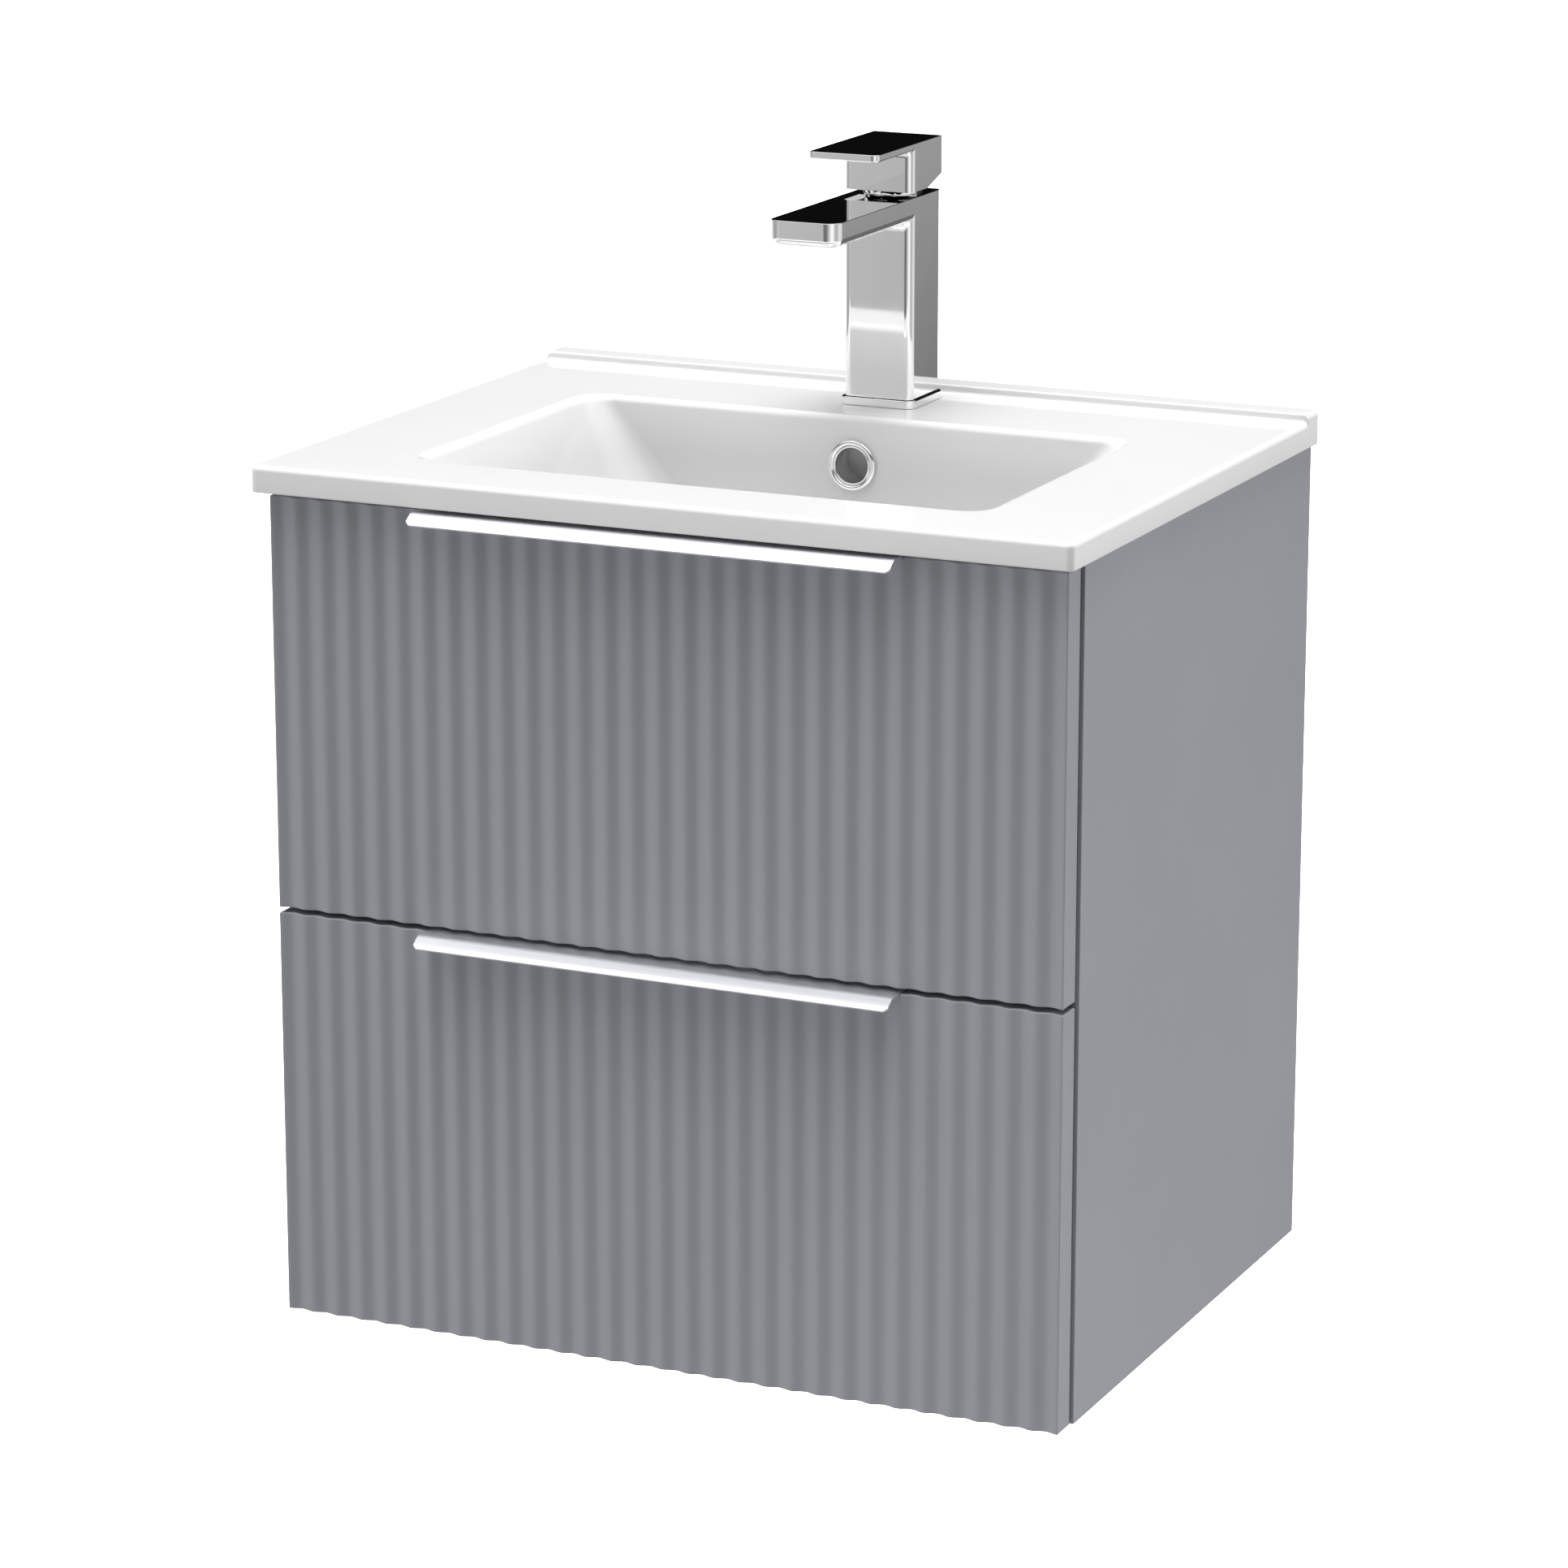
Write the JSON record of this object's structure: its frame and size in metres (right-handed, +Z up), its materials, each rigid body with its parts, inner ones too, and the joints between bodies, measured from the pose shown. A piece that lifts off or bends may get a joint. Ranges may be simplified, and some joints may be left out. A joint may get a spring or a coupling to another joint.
{
  "type": "bathroom vanity cabinet",
  "caption": "Wall-hung bathroom vanity: fluted grey drawers on runners with edge handles, thin-edge ceramic basin with overflow and waste, square single-lever mixer.",
  "frame": {"origin": "on the wall plane at mid-width, level with the top edge of the cabinet and the underside of the basin's edge; the hanging rail's back face starts there", "axes": "+Z up, +X to the right of someone facing the cabinet, +Y into the wall; the drawers open along -Y"},
  "size_m": [0.51, 0.4035, 0.6766],
  "materials": {
    "grey_lacquer": "satin lacquer on fibreboard",
    "white_board": "melamine-faced board",
    "ceramic": "white gloss glaze",
    "chrome": "polished",
    "zinc_steel": "zinc plated",
    "brass": "machined",
    "rubber": "matt",
    "cartridge_plastic": "moulded"
  },
  "bodies": {
    "root": {"aerator": "chrome", "basin": "ceramic", "bottom_panel": "grey_lacquer", "cartridge_housing": "cartridge_plastic", "dome_collar": "chrome", "front_rail": "grey_lacquer", "hanger_left": "zinc_steel", "hanger_right": "zinc_steel", "hanging_rail": "grey_lacquer", "lower_back_rail": "grey_lacquer", "lower_cabinet_rail_left": "zinc_steel", "lower_cabinet_rail_right": "zinc_steel", "overflow_ring": "chrome", "side_panel_left": "grey_lacquer", "side_panel_right": "grey_lacquer", "tap_base_plate": "chrome", "tap_body": "chrome", "tap_clamp": "brass", "tap_gasket": "rubber", "tap_inlet_left": "brass", "tap_inlet_right": "brass", "tap_nut": "brass", "tap_stud": "brass", "upper_cabinet_rail_left": "zinc_steel", "upper_cabinet_rail_right": "zinc_steel", "wall_plate_left": "zinc_steel", "wall_plate_right": "zinc_steel", "waste_body": "chrome", "waste_nut": "chrome", "waste_seal": "rubber"},
    "upper_drawer": {"notch_front": "white_board", "notch_side_left": "white_board", "notch_side_right": "white_board", "upper_box_back_left": "white_board", "upper_box_back_right": "white_board", "upper_box_bottom": "white_board", "upper_box_side_left": "white_board", "upper_box_side_right": "white_board", "upper_drawer_front": "grey_lacquer", "upper_drawer_rail_left": "zinc_steel", "upper_drawer_rail_right": "zinc_steel", "upper_handle": "chrome"},
    "upper_middle_rails": {"upper_middle_rail_left": "zinc_steel", "upper_middle_rail_right": "zinc_steel"},
    "lower_drawer": {"lower_box_back": "white_board", "lower_box_bottom": "white_board", "lower_box_side_left": "white_board", "lower_box_side_right": "white_board", "lower_drawer_front": "grey_lacquer", "lower_drawer_rail_left": "zinc_steel", "lower_drawer_rail_right": "zinc_steel", "lower_handle": "chrome"},
    "lower_middle_rails": {"lower_middle_rail_left": "zinc_steel", "lower_middle_rail_right": "zinc_steel"},
    "tap_rotor": {"cartridge_rotor": "cartridge_plastic"},
    "tap_lever": {"tap_lever": "chrome", "tap_stem": "brass"},
    "waste_plug": {"waste_plug": "chrome"}
  },
  "joints": [
    {"name": "upper_drawer_slide", "type": "slide", "parent": "root", "child": "upper_drawer", "axis": [0, -1, 0], "range_m": [0, 0.3]},
    {"name": "upper_rails_slide", "type": "slide", "parent": "root", "child": "upper_middle_rails", "axis": [0, -1, 0], "range_m": [0, 0.15]},
    {"name": "lower_drawer_slide", "type": "slide", "parent": "root", "child": "lower_drawer", "axis": [0, -1, 0], "range_m": [0, 0.3]},
    {"name": "lower_rails_slide", "type": "slide", "parent": "root", "child": "lower_middle_rails", "axis": [0, -1, 0], "range_m": [0, 0.15]},
    {"name": "tap_temperature_turn", "type": "hinge", "parent": "root", "child": "tap_rotor", "pos_m": [0, -0.0585, 0.134], "axis": [0, 0, 1], "range_deg": [-50, 50]},
    {"name": "tap_flow_lift", "type": "hinge", "parent": "tap_rotor", "child": "tap_lever", "pos_m": [0, -0.0585, 0.134], "axis": [-1, 0, 0], "range_deg": [0, 20]},
    {"name": "waste_plug_lift", "type": "slide", "parent": "root", "child": "waste_plug", "axis": [0, 0, 1], "range_m": [0, 0.008]}
  ],
  "couplings": [
    {"joint": "upper_rails_slide", "follows": "upper_drawer_slide", "ratio": 0.5},
    {"joint": "lower_rails_slide", "follows": "lower_drawer_slide", "ratio": 0.5}
  ]
}
